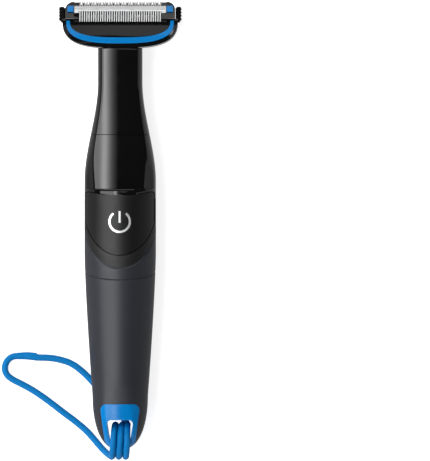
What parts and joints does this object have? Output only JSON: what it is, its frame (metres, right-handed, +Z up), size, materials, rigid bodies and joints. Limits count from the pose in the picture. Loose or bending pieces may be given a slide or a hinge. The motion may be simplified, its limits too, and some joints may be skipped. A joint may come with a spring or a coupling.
{
  "type": "body groomer",
  "caption": "Slim battery body groomer with a T-shaped trimming head, two toothed guard combs, a power button, a slide-off battery cover and a cord loop at the tail.",
  "frame": {"origin": "middle of the part's footprint, on the surface it lies on with its flat back down; the cord isn't counted", "axes": "+X across the head, +Y along the handle to the head, +Z up out of the front face with the power button"},
  "size_m": [0.0659, 0.167, 0.0254],
  "materials": {
    "gloss_black": "high gloss",
    "matte_black": "soft touch",
    "slate_grey": "soft touch",
    "blue_plastic": "gloss",
    "blue_cord": "smooth satin",
    "silver_print": "satin",
    "comb_steel": "polished",
    "blade_steel": "ground",
    "spring_steel": "bright",
    "shaft_steel": "ground",
    "motor_steel": "zinc plated",
    "copper": "wound wire",
    "nickel_strip": "nickel plated",
    "cell_metal": "satin",
    "bush_bronze": "sintered",
    "seal_rubber": "matte",
    "board_green": "solder mask",
    "ivory_plastic": "moulded",
    "chassis_plastic": "moulded",
    "red_wire": "satin",
    "black_wire": "satin"
  },
  "bodies": {
    "handle": {"neck_shell": "gloss_black", "upper_housing": "gloss_black", "housing_collar": "slate_grey", "circuit_board": "board_green", "push_switch": "chassis_plastic", "cell_sleeve": "chassis_plastic", "positive_contact": "nickel_strip", "contact_strip": "nickel_strip", "motor_can": "motor_steel", "motor_end_cap": "chassis_plastic", "neck_bush": "bush_bronze", "head_bush": "bush_bronze", "shaft_seal": "seal_rubber", "sealing_ring": "seal_rubber", "red_lead": "red_wire", "black_lead": "black_wire", "neck_screws": "shaft_steel", "head_shell": "gloss_black", "head_panel": "gloss_black", "head_trim": "blue_plastic", "button_spring": "spring_steel", "catch_spring_left": "spring_steel", "catch_spring_right": "spring_steel"},
    "button": {"power_button": "matte_black", "power_icon": "silver_print"},
    "plunger": {"switch_plunger": "ivory_plastic"},
    "cover": {"battery_cover": "slate_grey", "hanger_insert": "blue_plastic", "negative_spring": "spring_steel", "hanging_cord": "blue_cord", "cord_splice": "blue_cord"},
    "cell": {"battery_can": "cell_metal", "battery_cap": "cell_metal"},
    "drive": {"motor_rotor": "copper", "motor_shaft": "shaft_steel", "shaft_coupling": "ivory_plastic", "drive_shaft": "shaft_steel", "eccentric_pin": "ivory_plastic"},
    "cartridge": {"cartridge_frame": "gloss_black", "front_guard_comb": "comb_steel", "rear_guard_comb": "comb_steel", "guard_end_clips": "blue_plastic", "cutter_spring": "spring_steel"},
    "cutter": {"cutter_carrier": "ivory_plastic", "front_cutter_blade": "blade_steel", "rear_cutter_blade": "blade_steel"},
    "catch_left": {"release_button_left": "gloss_black"},
    "catch_right": {"release_button_right": "gloss_black"}
  },
  "joints": [
    {"name": "button_press", "type": "slide", "parent": "handle", "child": "button", "axis": [0, 0, -1], "range_m": [0, 0.0008], "stiffness_N_per_m": 1500, "deforming": ["button_spring"]},
    {"name": "plunger_press", "type": "slide", "parent": "handle", "child": "plunger", "axis": [0, 0, -1], "range_m": [0, 0.0008]},
    {"name": "cover_slide", "type": "slide", "parent": "handle", "child": "cover", "axis": [0, -1, 0], "range_m": [0, 0.11]},
    {"name": "cell_slide", "type": "slide", "parent": "handle", "child": "cell", "axis": [0, -1, 0], "range_m": [0, 0.055]},
    {"name": "drive_spin", "type": "hinge", "parent": "handle", "child": "drive", "pos_m": [0, 0.05, 0.0124], "axis": [0, 1, 0], "continuous": true},
    {"name": "cartridge_lift", "type": "slide", "parent": "handle", "child": "cartridge", "axis": [0, 1, 0], "range_m": [0, 0.012]},
    {"name": "cutter_stroke", "type": "slide", "parent": "cartridge", "child": "cutter", "axis": [1, 0, 0], "range_m": [-0.0006, 0.0006]},
    {"name": "catch_left_press", "type": "slide", "parent": "handle", "child": "catch_left", "axis": [1, 0, 0], "range_m": [0, 0.0005], "stiffness_N_per_m": 1500, "deforming": ["catch_spring_left"]},
    {"name": "catch_right_press", "type": "slide", "parent": "handle", "child": "catch_right", "axis": [-1, 0, 0], "range_m": [0, 0.0005], "stiffness_N_per_m": 1500, "deforming": ["catch_spring_right"]}
  ],
  "couplings": [
    {"joint": "plunger_press", "follows": "button_press", "ratio": 1},
    {"joint": "cell_slide", "follows": "cover_slide", "ratio": 0.5}
  ]
}
